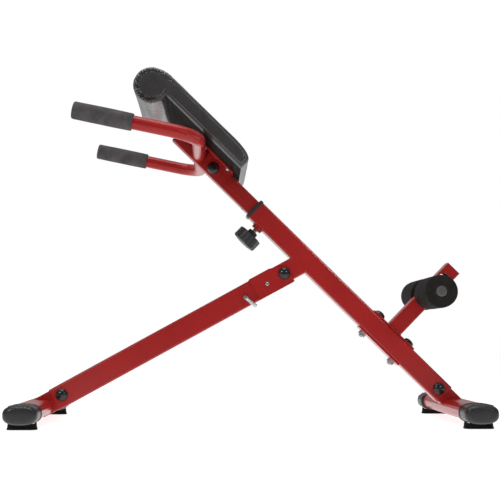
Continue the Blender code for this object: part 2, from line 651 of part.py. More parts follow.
def build_ankle_post():
    top_face = TUBE / 2 + FIT
    centre = (ANKLE_AT, 0, 0)
    plate_outline = rounded_rect(ANKLE_PLATE, 0.048, 0.004, 3)
    post = prism_z("ankle_post", plate_outline, top_face, top_face + PLATE, RED, tube_frame, centre)
    boolean(post, prism_z("tube", rounded_rect(POST, POST, 0.003), top_face + 0.001, ANKLE_POST_TOP,
                          None, tube_frame, centre), 'UNION')
    bore = POST - 0.004
    cut(post, prism_z("bore", rounded_rect(bore, bore, 0.001, 1), 0.0, ANKLE_POST_TOP - 0.002, None,
                      tube_frame, centre))
    for up in (AXLE_UP, SPARE_HOLE_UP):
        cut(post, rod_cutter('Y', AXLE_HOLE, -0.03, 0.03, tube_frame, (ANKLE_AT, 0, up), 24))
    backing = prism_z("ankle_backing_plate", plate_outline, -top_face - PLATE, -top_face, RED,
                      tube_frame, centre)
    for number, side in enumerate((-1, 1), 1):
        at = (ANKLE_AT + side * ANKLE_BOLTS, 0, 0)
        for plate in (post, backing):
            cut(plate, rod_cutter('Z', BOLT_RADIUS + FIT, -0.05, 0.05, tube_frame, at, 16))
        seat = top_face + PLATE + FIT
        bolt = turned(f"ankle_bolt_{number}", [(-0.0425, 0.0036), (-0.0410, BOLT_RADIUS),
                                               (seat + 0.002, BOLT_RADIUS)], 'Z', STEEL, tube_frame,
                      at, 16)
        boolean(bolt, prism_z("head", hex_outline(HEAD_FLATS), seat, seat + HEAD_HEIGHT, None,
                              tube_frame, at), 'UNION')
        bolt_cap(f"ankle_bolt_cap_{number}", 'Z', 1, seat, tube_frame, at)
        nut = prism_z(f"ankle_nut_{number}", hex_outline(0.0165), -seat - 0.0085, -seat, STEEL,
                      tube_frame, at)
        cut(nut, rod_cutter('Z', BOLT_RADIUS + 0.00025, -0.05, 0.0, tube_frame, at, 16))


def build_rollers():
    axle_frame = make_frame("roller_axle_frame", (ANKLE_AT, 0, AXLE_UP), 0.0, tube_frame)
    half = ROLLER_OUTER - 0.002
    turned("roller_axle", [(-half, AXLE_RADIUS), (half, AXLE_RADIUS), (half, AXLE_RADIUS - 0.002),
                           (-half, AXLE_RADIUS - 0.002)], 'Y', STEEL, axle_frame, sides=32,
           ring=True)
    edge = 0.003
    bore = AXLE_RADIUS + 0.0004
    for side, hand in ((-1, "left"), (1, "right")):
        near, far = ROLLER_INNER, ROLLER_OUTER
        profile = [(near, bore), (near, ROLLER_RADIUS - edge), (near + edge, ROLLER_RADIUS),
                   (far - edge, ROLLER_RADIUS), (far, ROLLER_RADIUS - edge), (far, bore)]
        turned(f"foam_roller_{hand}", [(side * h, r) for h, r in profile], 'Y', FOAM, axle_frame,
               sides=28, ring=True)
        plug = [(half - 0.020, 0.0100), (half - 0.018, 0.0106), (half + FIT, 0.0106),
                (half + FIT, 0.0127), (half + 0.0020, 0.0124), (half + 0.0030, 0.0100)]
        turned(f"axle_plug_{hand}", [(side * h, r) for h, r in plug], 'Y', GREY, axle_frame,
               sides=20)


build_main_frame()
build_sleeve_bushing()
build_clamp_knob()
build_seat_post()
build_handlebar()
build_pad()
build_pad_bracket()
build_front_leg()
build_lock_pin()
build_feet()
build_ankle_post()
build_rollers()
bpy.context.view_layer.update()
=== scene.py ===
"""Looks of the roman chair: upholstery, foam, moulded caps, paint and plating around the CAD frame.

Metres, in the frame of the CAD: +X towards the ankle rollers, -Y towards the camera, +Z up. Pieces on
the slope are placed by (d, y, n): d runs down the sleeve from its upper end, n stands off its axis.
"""
import math

import bmesh
import bpy
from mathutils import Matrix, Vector, noise


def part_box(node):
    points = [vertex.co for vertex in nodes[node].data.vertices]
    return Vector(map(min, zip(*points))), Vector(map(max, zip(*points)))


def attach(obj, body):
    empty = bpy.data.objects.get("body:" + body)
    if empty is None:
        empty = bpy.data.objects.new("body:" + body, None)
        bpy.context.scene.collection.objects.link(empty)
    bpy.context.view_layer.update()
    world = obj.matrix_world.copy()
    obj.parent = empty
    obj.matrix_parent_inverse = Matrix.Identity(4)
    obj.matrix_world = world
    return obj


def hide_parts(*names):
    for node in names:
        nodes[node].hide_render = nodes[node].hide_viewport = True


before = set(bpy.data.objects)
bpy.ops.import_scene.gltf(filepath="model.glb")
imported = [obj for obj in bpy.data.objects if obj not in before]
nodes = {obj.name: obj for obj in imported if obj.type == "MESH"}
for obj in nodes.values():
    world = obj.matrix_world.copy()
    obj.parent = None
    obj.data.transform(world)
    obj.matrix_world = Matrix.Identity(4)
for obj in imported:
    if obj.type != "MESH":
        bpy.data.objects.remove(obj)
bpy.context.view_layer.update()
TAU = 2 * math.pi

# The sleeve's axis, and the slopes of the other tubes
SLOPE = math.radians(44.4)
SLEEVE_TOP = Vector((0.0166, 0.0, 0.5200))
DOWN = Vector((math.cos(SLOPE), 0.0, -math.sin(SLOPE)))
OFF = Vector((math.sin(SLOPE), 0.0, math.cos(SLOPE)))
ACROSS = Vector((0.0, 1.0, 0.0))
LEG_SLOPE = math.radians(28.7)
HANDLE_SLOPE = math.radians(11.57)
HANDLE_OUT = Vector((-math.cos(HANDLE_SLOPE), 0.0, math.sin(HANDLE_SLOPE)))

# Places on the slope, in the CAD's own numbers
HANDLE_D, HANDLE_HALF = -0.193, 0.295
KNOB_D = 0.036
ANKLE_POST_D, AXLE_N = 0.4535, 0.153
ANKLE_BOLTS_D = (0.4045, 0.5025)
ANKLE_PLATE_N = 0.0291           # top face of the ankle post's base plate

# Which side is which: the camera sees the left one, at -Y
HANDS = ((-1, "left"), (1, "right"))


def at_tube(d, y, n):
    return SLEEVE_TOP + d * DOWN + y * ACROSS + n * OFF


# ---------------------------------------------------------------- materials

NOISE_LOW, NOISE_HIGH = 0.3, 0.7    # nearly all of a noise's values lie between these


class Paint:
    """A Principled material with a few noise layers for colour, roughness and relief."""

    def __init__(self, name, colour, roughness, metallic=0.0, specular=0.5, coat=0.0,
                 coat_roughness=0.08, turn=0.0):
        self.material = bpy.data.materials.new(name)
        self.material.use_nodes = True
        self.tree = self.material.node_tree
        self.shader = self.tree.nodes["Principled BSDF"]
        self.material.diffuse_color = (*colour, 1.0)
        for socket, value in (("Base Color", (*colour, 1.0)), ("Roughness", roughness),
                              ("Metallic", metallic), ("Specular IOR Level", specular),
                              ("Coat Weight", coat), ("Coat Roughness", coat_roughness)):
            self.shader.inputs[socket].default_value = value
        self.colour = colour
        self.place = self.add("ShaderNodeTexCoord").outputs["Object"]
        if turn:
            self.place = self.mapped((1, 1, 1), turn)
        self.relief = None

    def add(self, kind, **values):
        node = self.tree.nodes.new(kind)
        for key, value in values.items():
            setattr(node, key, value)
        return node

    def link(self, start, end):
        self.tree.links.new(start, end)

    def mapped(self, scale, turn=0.0):
        """The place scaled along its axes, and turned so that X lies along a slope."""
        node = self.add("ShaderNodeMapping")
        self.link(self.place, node.inputs["Vector"])
        node.inputs["Rotation"].default_value = (0.0, -turn, 0.0)
        node.inputs["Scale"].default_value = scale
        return node.outputs["Vector"]

    def noise(self, scale, detail=3.0, stretch=None):
        """Cloudy noise; a stretch of one large and one small scale draws it out into streaks."""
        node = self.add("ShaderNodeTexNoise")
        self.link(self.mapped(stretch) if stretch else self.place, node.inputs["Vector"])
        node.inputs["Scale"].default_value = scale
        node.inputs["Detail"].default_value = detail
        node.inputs["Roughness"].default_value = 0.55
        return node.outputs["Fac"]

    def cells(self, scale, smooth=True):
        """Pebbles if smooth, or sharp-edged pores."""
        node = self.add("ShaderNodeTexVoronoi", feature='SMOOTH_F1' if smooth else 'F1')
        self.link(self.place, node.inputs["Vector"])
        node.inputs["Scale"].default_value = scale
        return node.outputs["Distance"]

    def spread(self, source, low, high, to_low=0.0, to_high=1.0):
        """Maps low..high onto to_low..to_high, and holds it there."""
        node = self.add("ShaderNodeMapRange")
        self.link(source, node.inputs["Value"])
        for socket, value in (("From Min", low), ("From Max", high), ("To Min", to_low),
                              ("To Max", to_high)):
            node.inputs[socket].default_value = value
        return node.outputs["Result"]

    def tint(self, source, dark, light):
        """Base colour between two multiples of the paint's colour."""
        node = self.add("ShaderNodeMix", data_type='RGBA')
        self.link(self.spread(source, NOISE_LOW, NOISE_HIGH), node.inputs["Factor"])
        node.inputs["A"].default_value = (*[c * dark for c in self.colour], 1.0)
        node.inputs["B"].default_value = (*[c * light for c in self.colour], 1.0)
        self.link(node.outputs["Result"], self.shader.inputs["Base Color"])

    def blend_over(self, source, colour, low, high):
        """Lays a second colour over the first where the source is high."""
        below = self.shader.inputs["Base Color"].links[0].from_socket
        node = self.add("ShaderNodeMix", data_type='RGBA')
        self.link(self.spread(source, low, high), node.inputs["Factor"])
        self.link(below, node.inputs["A"])
        node.inputs["B"].default_value = (*colour, 1.0)
        self.link(node.outputs["Result"], self.shader.inputs["Base Color"])

    def polish(self, source, low, high):
        """Roughness between two values."""
        self.link(self.spread(source, NOISE_LOW, NOISE_HIGH, low, high),
                  self.shader.inputs["Roughness"])

    def bump(self, source, depth, strength=1.0):
        """Relief on top of what is there; depth is in metres."""
        node = self.add("ShaderNodeBump")
        self.link(source, node.inputs["Height"])
        node.inputs["Distance"].default_value = depth
        node.inputs["Strength"].default_value = strength
        if self.relief:
            self.link(self.relief, node.inputs["Normal"])
        self.relief = node.outputs["Normal"]
        self.link(self.relief, self.shader.inputs["Normal"])


def red_paint(name, colour, turn, scuffs, specular=0.38):
    """Stoved enamel with a little orange peel, dust and lengthwise rub marks."""
    paint = Paint(name, colour, 0.24, specular=specular, coat=0.16, coat_roughness=0.26, turn=turn)
    paint.tint(paint.noise(9.0, 4.0), 0.90, 1.08)
    paint.blend_over(paint.noise(700.0, 2.0), [0.02 + 1.15 * c for c in colour], 0.76, 0.86)
    rubbed = paint.noise(1.0, 4.0, stretch=(6.0, 900.0, 900.0))
    paint.polish(rubbed, 0.18, 0.23 + scuffs)
    paint.bump(paint.noise(110.0, 2.0), 0.000016)
    paint.bump(rubbed, 0.000002 + scuffs * 0.00002)
    return paint.material


def moulded(name, colour, low, high, grain=1400.0, depth=0.00004, coat=0.25):
    """Injection-moulded plastic: fine spark grain, slightly uneven gloss."""
    paint = Paint(name, colour, 0.3, specular=0.5, coat=coat, coat_roughness=0.12)
    paint.tint(paint.noise(40.0), 0.8, 1.3)
    paint.polish(paint.noise(120.0, 4.0), low, high)
    paint.bump(paint.noise(grain, 3.0), depth)
    return paint.material


def zinc(name, colour):
    """Plated steel with a faint crystal mottle."""
    paint = Paint(name, colour, 0.3, metallic=1.0)
    paint.tint(paint.noise(160.0, 4.0), 0.72, 1.12)
    paint.polish(paint.noise(500.0, 3.0), 0.20, 0.42)
    paint.bump(paint.noise(420.0, 3.0), 0.000012)
    return paint.material


def vinyl(name, colour):
    """Upholstery vinyl: pebbled grain with soft creases under it."""
    paint = Paint(name, colour, 0.4, specular=0.5, coat=0.75, coat_roughness=0.20)
    paint.tint(paint.noise(22.0, 4.0), 0.80, 1.25)
    paint.polish(paint.noise(60.0, 4.0), 0.34, 0.52)
    paint.bump(paint.noise(38.0, 3.0), 0.0007, 0.8)
    paint.bump(paint.cells(620.0), 0.00022, 0.9)
    paint.bump(paint.noise(1900.0, 2.0), 0.00003)
    return paint.material


def foam(name, colour, pores=1100.0, depth=0.00016):
    """Closed-cell foam, rubber or felt: small pores and no gloss."""
    paint = Paint(name, colour, 0.85, specular=0.12)
    paint.tint(paint.noise(35.0, 4.0), 0.72, 1.30)
    paint.polish(paint.noise(90.0), 0.78, 0.95)
    paint.bump(paint.noise(60.0, 3.0), 0.0004)
    paint.bump(paint.cells(pores, smooth=False), depth)
    return paint.material


def plywood(name):
    """Board darkened as painted shade under the pad: the grain and the pores run across the bench."""
    paint = Paint(name, (0.011, 0.0085, 0.0080), 0.85, specular=0.08, turn=SLOPE)
    paint.tint(paint.noise(1.0, 5.0, stretch=(160.0, 9.0, 160.0)), 0.6, 1.3)
    pores = paint.noise(1.0, 3.0, stretch=(900.0, 30.0, 900.0))
    paint.blend_over(pores, (0.005, 0.004, 0.004), 0.62, 0.72)
    paint.polish(paint.noise(80.0), 0.80, 0.95)
    paint.bump(paint.noise(1.0, 5.0, stretch=(500.0, 12.0, 500.0)), 0.00018)
    return paint.material


RED = (0.385, 0.0165, 0.0155)
FRAME_RED = red_paint("red_enamel", RED, SLOPE, 0.03)
# Seat post and pad bracket under the pad: the frame's enamel 8% darker as painted shade, with more rub
# marks in roughness and relief.
SHADED_POST_RED = red_paint("red_enamel_rubbed_painted_shade", [c * 0.92 for c in RED], SLOPE, 0.10)
LEG_RED = red_paint("red_enamel_leg", RED, -LEG_SLOPE, 0.03)
# Handlebar: the frame's enamel 4% lighter as painted light, with less specular.
LIT_HANDLE_RED = red_paint("red_enamel_handle_painted_light", [c * 1.04 for c in RED], HANDLE_SLOPE, 0.02, 0.24)
FOOT_RED = red_paint("red_enamel_feet", RED, 0.0, 0.04, 0.22)
CAP_BLACK = moulded("bolt_cap_plastic", (0.010, 0.010, 0.011), 0.20, 0.34, coat=0.2)
KNOB_BLACK = moulded("knob_plastic", (0.006, 0.006, 0.0065), 0.30, 0.45, coat=0.0)
END_BLACK = moulded("end_cap_plastic", (0.011, 0.0103, 0.0100), 0.30, 0.46, grain=700.0, depth=0.000025,
                    coat=0.10)
COLLAR_BLACK = moulded("collar_plastic", (0.024, 0.024, 0.023), 0.35, 0.5, coat=0.0)
PLUG_GREY = moulded("plug_plastic", (0.085, 0.078, 0.080), 0.38, 0.55, coat=0.0)
ZINC = zinc("zinc_plate", (0.60, 0.60, 0.615))
STAPLE = zinc("blackened_wire", (0.06, 0.06, 0.062))
VINYL = vinyl("black_vinyl", (0.034, 0.0310, 0.0325))
# Piping: vinyl more than three times lighter than the cover, a painted highlight for the light the piping
# catches.
PAINTED_HIGHLIGHT_PIPING = vinyl("piping_vinyl_painted_highlight", (0.115, 0.107, 0.11))
ROLLER_FOAM = foam("roller_foam", (0.019, 0.0165, 0.0160))
GRIP_FOAM = foam("grip_foam", (0.092, 0.084, 0.086))
RUBBER = foam("foot_rubber", (0.010, 0.010, 0.010), pores=500.0, depth=0.00006)
# Board under the pad, darkened as painted shade.
SHADED_BOARD = plywood("board_painted_shade")
# Underside of the cover: near black, painted shade under the pad.
SHADED_UNDERSIDE = foam("underside_painted_shade", (0.012, 0.011, 0.011), pores=1500.0, depth=0.00010)

LOOKS = {
    "main_frame": FRAME_RED, "sleeve_boss": FRAME_RED, "ankle_post": FRAME_RED,
    "ankle_backing_plate": FRAME_RED, "seat_post": SHADED_POST_RED, "pad_bracket": SHADED_POST_RED,
    "handlebar": LIT_HANDLE_RED, "front_leg": LEG_RED, "hinge_plate_left": LEG_RED,
    "hinge_plate_right": LEG_RED, "front_stabilizer": FOOT_RED, "rear_stabilizer": FOOT_RED,
    "sleeve_bushing": COLLAR_BLACK, "seat_post_plug": COLLAR_BLACK, "lock_knob": KNOB_BLACK,
    "axle_plug_left": PLUG_GREY, "axle_plug_right": PLUG_GREY, "pad_board": SHADED_BOARD,
    "pad_cushion": VINYL,
}
FAMILIES = (("foot_pad", RUBBER), ("cap", CAP_BLACK), ("foam_roller", ROLLER_FOAM), ("grip", GRIP_FOAM))


def look_of(name):
    """A node's own look, or its family's, or the plating of the bolts, screws and pins."""
    if name in LOOKS:
        return LOOKS[name]
    return next((look for part, look in FAMILIES if part in name), ZINC)


for name, node in nodes.items():
    node.data.materials.clear()
    node.data.materials.append(look_of(name))


# ---------------------------------------------------------------- mesh helpers

def add_piece(name, bm, material, body, replaces=(), smooth_angle=60):
    """Turns the bmesh into a visible piece that rides on a body."""
    bmesh.ops.remove_doubles(bm, verts=bm.verts[:], dist=1e-6)
    bmesh.ops.recalc_face_normals(bm, faces=bm.faces[:])
    mesh = bpy.data.meshes.new(name)
    bm.to_mesh(mesh)
    bm.free()
    mesh.materials.append(material)
    mesh.shade_smooth()
    mesh.set_sharp_from_angle(angle=math.radians(smooth_angle))
    piece = bpy.data.objects.new(name, mesh)
    bpy.context.scene.collection.objects.link(piece)
    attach(piece, body)
    if replaces:
        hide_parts(*replaces)
    return piece


def skin(bm, rings, loop=False):
    """Quads between equal rings of points, closed at both ends or into a loop."""
    loops = [[bm.verts.new(p) for p in ring] for ring in rings]
    count = len(loops[0])
    pairs = list(zip(loops, loops[1:]))
    if loop:
        pairs.append((loops[-1], loops[0]))
    for a, b in pairs:
        for i in range(count):
            j = (i + 1) % count
            bm.faces.new((a[i], a[j], b[j], b[i]))
    if not loop:
        bm.faces.new(loops[0][::-1])
        bm.faces.new(loops[-1])
    return loops


def turned(bm, profile, origin, axis, sides=64, wobble=None):
    """Profile of (height, radius) round an axis; wobble(angle, height) is added to the radius."""
    axis = axis.normalized()
    side = axis.orthogonal().normalized()
    other = axis.cross(side)
    rings = []
    for height, radius in profile:
        ring = []
        for i in range(sides):
            a = TAU * i / sides
            r = radius + (wobble(a, height) if wobble else 0.0)
            ring.append(origin + height * axis + r * (math.cos(a) * side + math.sin(a) * other))
        rings.append(ring)
    return skin(bm, rings)


def tube(bm, path, radius, sides=8, closed=False, swell=None):
    """Round bar along a path of points; swell(i) multiplies the radius."""
    count = len(path)
    rings = []
    up = None
    for i, point in enumerate(path):
        if closed:
            ahead = path[(i + 1) % count] - path[i - 1]
        else:
            ahead = path[min(i + 1, count - 1)] - path[max(i - 1, 0)]
        ahead = ahead.normalized()
        if up is None:
            up = ahead.orthogonal().normalized()
        up = (up - up.dot(ahead) * ahead).normalized()
        side = ahead.cross(up)
        r = radius * (swell(i) if swell else 1.0)
        rings.append([point + r * (math.cos(TAU * k / sides) * up + math.sin(TAU * k / sides) * side)
                      for k in range(sides)])
    skin(bm, rings, closed)


def circle(radius, count):
    return [(radius * math.cos(TAU * k / count), radius * math.sin(TAU * k / count))
            for k in range(count)]


def smoothstep(low, high, x):
    """0 at low, 1 at high and smooth between; low may be the larger of the two."""
    t = min(1.0, max(0.0, (x - low) / (high - low)))
    return t * t * (3 - 2 * t)


def arc(centre, radius, start, end, steps):
    """Points round a centre from one angle to another, in degrees."""
    return [(centre[0] + radius * math.cos(math.radians(start + (end - start) * i / steps)),
             centre[1] + radius * math.sin(math.radians(start + (end - start) * i / steps)))
            for i in range(steps + 1)]


# ---------------------------------------------------------------- pad upholstery

PAD_HALF = 0.2175
PAD_END, PAD_TOP, PAD_BASE = -0.080, 0.0662, 0.0248
NOSE, NOSE_BASE = 0.070, 0.044   # run and foot of the curve down to the pad's lower end
NOSE_POWER = 0.76                # below 1, which makes the curve fuller than an ellipse
ROLL_D, ROLL_N, ROLL_R = -0.3648, 0.0185, 0.0423
PIPING_TOP_D = -0.345            # where the piping ends, near the top of the roll
BLEND = 0.080                    # radius of the gentler curve from the roll to the flat top
EDGE = 0.008                     # radius where the cover turns onto the side panels
SEAM = 0.0088                    # just past the side panel's seam
PIPING_INSET = 0.0080
WRAP = 0.030                     # the cover's margin stapled under the board
STATIONS = 36                    # rings from the middle of the pad to each side, closer at the sides
UNDER, ROLL, TOP, LOWER_END = range(4)
UNDER_STEPS, ROLL_STEPS, BLEND_STEPS, TOP_STEPS, NOSE_STEPS, END_STEPS = 34, 96, 10, 36, 14, 6


def pad_outline(inset):
    """Side view of the pad, moved inwards, as (d, n, part) points: up under it, round the roll, and
    down over the top and the lower end."""
    radius, base, top, end = ROLL_R - inset, PAD_BASE + inset, PAD_TOP - inset, PAD_END - inset
    rise = ROLL_N - (PAD_TOP - BLEND)
    run = math.sqrt((BLEND - ROLL_R) ** 2 - rise ** 2)
    centre = (ROLL_D + run, PAD_TOP - BLEND)
    meet = math.degrees(math.atan2(rise, -run))
    crease_angle = math.asin(min(1.0, (base - ROLL_N) / radius))
    crease = ROLL_D + radius * math.cos(crease_angle)
    points = [(end + (crease - end) * i / UNDER_STEPS, base, UNDER) for i in range(UNDER_STEPS)]
    points += [(d, n, ROLL) for d, n in arc((ROLL_D, ROLL_N), radius, math.degrees(crease_angle),
                                            meet - 360, ROLL_STEPS)]
    points += [(d, n, ROLL) for d, n in arc(centre, BLEND - inset, meet, 90, BLEND_STEPS)[1:]]
    start = PAD_END - NOSE
    points += [(centre[0] + (start - centre[0]) * i / TOP_STEPS, top, TOP)
               for i in range(1, TOP_STEPS + 1)]
    for i in range(1, NOSE_STEPS + 1):
        a = math.radians(90 - 90 * i / NOSE_STEPS)
        points.append((start + (NOSE - inset) * max(0.0, math.cos(a)) ** NOSE_POWER,
                       NOSE_BASE + (top - NOSE_BASE) * max(0.0, math.sin(a)) ** NOSE_POWER, LOWER_END))
    points += [(end, NOSE_BASE + (base - NOSE_BASE) * i / END_STEPS, LOWER_END)
               for i in range(1, END_STEPS)]
    return points


def fullness(d, part):
    """How far in the side panel's seam lies: more round the roll than along the flat."""
    if part == ROLL:
        return 1.0 + 0.5 * smoothstep(-0.300, -0.345, d)
    return 1.0


def gathers(d, n):
    """Pleats radiating from the roll's middle; they fade out where the roll runs into the flat top."""
    a = math.atan2(n - ROLL_N, d - ROLL_D)
    turn = math.degrees(a) % 360
    strength = smoothstep(55, 105, turn) * (1 - 0.35 * smoothstep(300, 345, turn))
    wander = noise.noise(Vector((math.cos(a) * 2.1, math.sin(a) * 2.1, 4.0)))
    waves = math.sin(a * 37 + 5.0 * wander) + 0.35 * math.sin(a * 61 + 2.0 + 7.0 * wander)
    return strength * waves


# How far in from the outline each ring of a side panel lies
PANEL_STEPS = (0.0002, 0.0007, 0.0015, 0.0026, 0.0040, 0.0055, 0.0068, 0.0076, 0.0082, 0.0088, 0.0096,
               0.0106, 0.0118)


def near_roll(d, part):
    """1 on the roll and at the crease under it, 0 along the flat."""
    return smoothstep(-0.318, -0.340, d) if part in (UNDER, ROLL) else 0.0


def cover_lift(d, y, n, part, half):
    """How far the cover stands off the outline: gathers and creases on the roll, a crown on top."""
    if part == ROLL:
        to_edge = half - abs(y)
        lift = 0.0007 * near_roll(d, part) * gathers(d, n) * math.exp(-to_edge / 0.016)
        lift += 0.0008 * noise.noise(Vector((d * 26, y * 9, n * 26)))
        fold = math.sin((n * 230 + d * 60) + 3 * noise.noise(Vector((d * 14, y * 7, 2.0))))
        return lift + 0.0005 * fold * near_roll(d, part)
    if part in (TOP, LOWER_END):
        crown = 1 - (y / half) ** 4
        lift = 0.0022 * crown * smoothstep(PAD_END, PAD_END - 0.02, d)
        return lift + 0.0007 * noise.noise(Vector((d * 18, y * 15, 7.0)))
    return 0.0


def build_cover(bm, outline):
    """The cover across the bench, open under the board; returns its two edge loops."""
    count = len(outline)
    half = PAD_HALF - EDGE
    stations = [half * math.sin(math.radians(90 * k / STATIONS)) for k in range(-STATIONS, STATIONS + 1)]
    loops = []
    for y in stations:
        ring = []
        for i, (d, n, part) in enumerate(outline):
            ahead, behind = outline[(i + 1) % count], outline[i - 1]
            along = Vector((ahead[0] - behind[0], ahead[1] - behind[1])).normalized()
            spot = Vector((d, n)) + cover_lift(d, y, n, part, half) * Vector((-along.y, along.x))
            ring.append(bm.verts.new(at_tube(spot.x, y, spot.y)))
        loops.append(ring)
    for k, (a, b) in enumerate(zip(loops, loops[1:])):
        middle = abs(stations[k] + stations[k + 1]) / 2
        for i in range(count):
            j = (i + 1) % count
            d = (outline[i][0] + outline[j][0]) / 2
            open_under = outline[i][2] == outline[j][2] == UNDER and -0.306 < d < -0.100
            if open_under and middle < PAD_HALF - WRAP:
                continue
            face = bm.faces.new((a[i], a[j], b[j], b[i]))
            # Faces under the pad take the second, near-black material: painted shade.
            if outline[i][2] == UNDER:
                face.material_index = 1
    return loops[0], loops[-1]


def build_side_panel(bm, outline, inner, side, previous):
    """Rounded edge, gathered band, seam groove, then a panel that swells a little."""
    count = len(outline)
    for s in PANEL_STEPS:
        ring = []
        for i, (d0, n0, part) in enumerate(outline):
            full, rolled = fullness(d0, part), near_roll(d0, part)
            d, n, _ = inner(i, s * full if s < SEAM else s + SEAM * (full - 1))
            rounded = min(s, EDGE)
            y = PAD_HALF - EDGE + math.sqrt(EDGE ** 2 - (EDGE - rounded) ** 2)
            y -= 0.0010 * (1 - rolled) * math.exp(-((s - 0.0082) / 0.0007) ** 2)
            y += 0.0012 * (1 - rolled) * smoothstep(0.0084, 0.0118, s)
            band = smoothstep(0.0006, 0.0035, s) * (1 - smoothstep(0.0055, 0.0110, s))
            y += 0.0021 * rolled * band * gathers(d0, n0)
            y += 0.0005 * noise.noise(Vector((d * 60, n * 60, side * 3.0)))
            ring.append(bm.verts.new(at_tube(d, side * y, n)))
        for i in range(count):
            j = (i + 1) % count
            bm.faces.new((previous[i], previous[j], ring[j], ring[i]))
        previous = ring
    bm.faces.new(previous)


def build_piping(outline, inner, side, hand):
    """Piping from the crease under the pad, round the lower end and back up to the roll."""
    count = len(outline)
    last = next(i for i in range(UNDER_STEPS + ROLL_STEPS // 2, count) if outline[i][0] > PIPING_TOP_D)
    order = list(range(UNDER_STEPS - 1, -1, -1)) + list(range(count - 1, last, -1))
    path = []
    for i in order:
        d0, _, part = outline[i]
        d, n, _ = inner(i, PIPING_INSET * fullness(d0, part))
        path.append(at_tube(d, side * (PAD_HALF + 0.0002), n))
    end = len(path) - 1
    bm = bmesh.new()
    tube(bm, path, 0.0012, 8, swell=lambda i: 0.35 + 0.65 * min(1.0, i / 5, (end - i) / 12))
    add_piece(f"pad_piping_{hand}", bm, PAINTED_HIGHLIGHT_PIPING, "seat")


def build_cushion():
    """The vinyl cover with its side panels, gathers and piping."""
    outline = pad_outline(0.0)
    outlines = {}

    def inner(i, inset):
        """Point i of the outline moved inwards."""
        key = round(inset, 6)
        if key not in outlines:
            outlines[key] = pad_outline(key)
        return outlines[key][i]

    bm = bmesh.new()
    edges = build_cover(bm, outline)
    for (side, _), edge in zip(HANDS, edges):
        build_side_panel(bm, outline, inner, side, edge)
    cushion = add_piece("pad_upholstery", bm, VINYL, "seat", ("pad_cushion",), 50)
    cushion.data.materials.append(SHADED_UNDERSIDE)
    for side, hand in HANDS:
        build_piping(outline, inner, side, hand)


# Half-lengths along a staple and the height of each point of it
STAPLE_BEND = ((-1.0, 0.0012), (-1.0, 0.0), (-0.8, -0.0004), (0.8, -0.0004), (1.0, 0.0), (1.0, 0.0012))


def build_staples():
    """Staples that hold the cover's margin under the board."""
    bm = bmesh.new()
    level = PAD_BASE - 0.0003
    spots = []
    for k in range(7):
        d = -0.298 + k * 0.033
        spots += [(d, side * (PAD_HALF - 0.020), 0.35 * (-1) ** k) for side in (-1, 1)]
    for k in range(12):
        y = -0.18 + k * 0.36 / 11
        spots.append((-0.0925, y, math.pi / 2 + 0.2 * (-1) ** k))
    for d, y, turn in spots:
        run = 0.0048 * Vector((math.cos(turn), math.sin(turn)))
        tube(bm, [at_tube(d + run.x * k, y + run.y * k, level + lift) for k, lift in STAPLE_BEND],
             0.0005, 6)
    add_piece("pad_staples", bm, STAPLE, "seat")


# ---------------------------------------------------------------- foam pieces

def build_rollers():
    """Foam sleeves with rounded ends and a bore that stays clear of the axle."""
    axle = at_tube(ANKLE_POST_D, 0.0, AXLE_N)
    near, far = 0.0245, 0.178    # a roller's two ends, from the middle of the bench
    r, edge = 0.0388, 0.0042
    sides = 96
    for (side, hand), body in zip(HANDS, ("roller_near", "roller_far")):
        profile = [(near + 0.0004, 0.0134), (near, 0.0160), (near, r - edge)]
        profile += [(near + edge * (1 - math.cos(a)), r - edge * (1 - math.sin(a)))
                    for a in (math.radians(15 * k) for k in range(1, 6))]
        for k in range(0, 41):
            h = near + edge + (far - near - 2 * edge) * k / 40
            profile.append((h, r + 0.0004 * math.sin(k * 0.9) * math.sin(k * 0.37)))
        profile += [(far - edge * (1 - math.cos(a)), r - edge * (1 - math.sin(a)))
                    for a in (math.radians(75 - 15 * k) for k in range(0, 5))]
        profile += [(far, r - edge), (far, 0.0240), (far - 0.0006, 0.0232), (far, 0.0224),
                    (far - 0.0002, 0.0160), (far - 0.0012, 0.0134)]

        def dents(a, h, side=side):
            spot = Vector((math.cos(a) * 1.6, math.sin(a) * 1.6, h * 30 * side))
            return 0.0005 * noise.noise(spot)

        bm = bmesh.new()
        rings = turned(bm, profile, axle, side * ACROSS, sides, dents)
        for end in (rings[0], rings[-1]):
            face = next(f for f in end[0].link_faces if len(f.verts) == sides)
            bm.faces.remove(face)
        for i in range(sides):
            j = (i + 1) % sides
            bm.faces.new((rings[0][i], rings[-1][i], rings[-1][j], rings[0][j]))
        roller = add_piece(f"roller_{hand}", bm, ROLLER_FOAM, body,
                           (f"foam_roller_{hand}",), 40)


def build_grips():
    """Slightly barrelled foam sleeves with a round, vented end."""
    start, end, r = 0.1502, 0.2873, 0.0199      # along the handle from the post's axis
    for side, hand in HANDS:
        origin = at_tube(HANDLE_D, side * HANDLE_HALF, 0.0)
        profile = [(start, 0.0164), (start - 0.0001, r - 0.0016), (start + 0.0005, r - 0.0005),
                   (start + 0.0014, r)]
        for k in range(1, 40):
            h = start + 0.0014 + (end - start - 0.0054) * k / 40
            profile.append((h, r + 0.00035 * math.sin(math.pi * k / 40)))
        profile += [(end - 0.0040 + 0.0040 * math.sin(math.radians(a)),
                     r - 0.0040 * (1 - math.cos(math.radians(a)))) for a in (0, 20, 40, 60, 80, 90)]
        profile += [(end + 0.0004, 0.0100), (end + 0.0005, 0.0030), (end - 0.0006, 0.0022)]

        def flutes(a, h):
            return 0.00012 * math.sin(24 * a) + 0.0003 * noise.noise(
                Vector((math.cos(a) * 1.5, math.sin(a) * 1.5, h * 25)))

        bm = bmesh.new()
        turned(bm, profile, origin, HANDLE_OUT, 96, flutes)
        grip = add_piece(f"grip_sleeve_{hand}", bm, GRIP_FOAM, "seat",
                         (f"grip_{hand}",), 40)


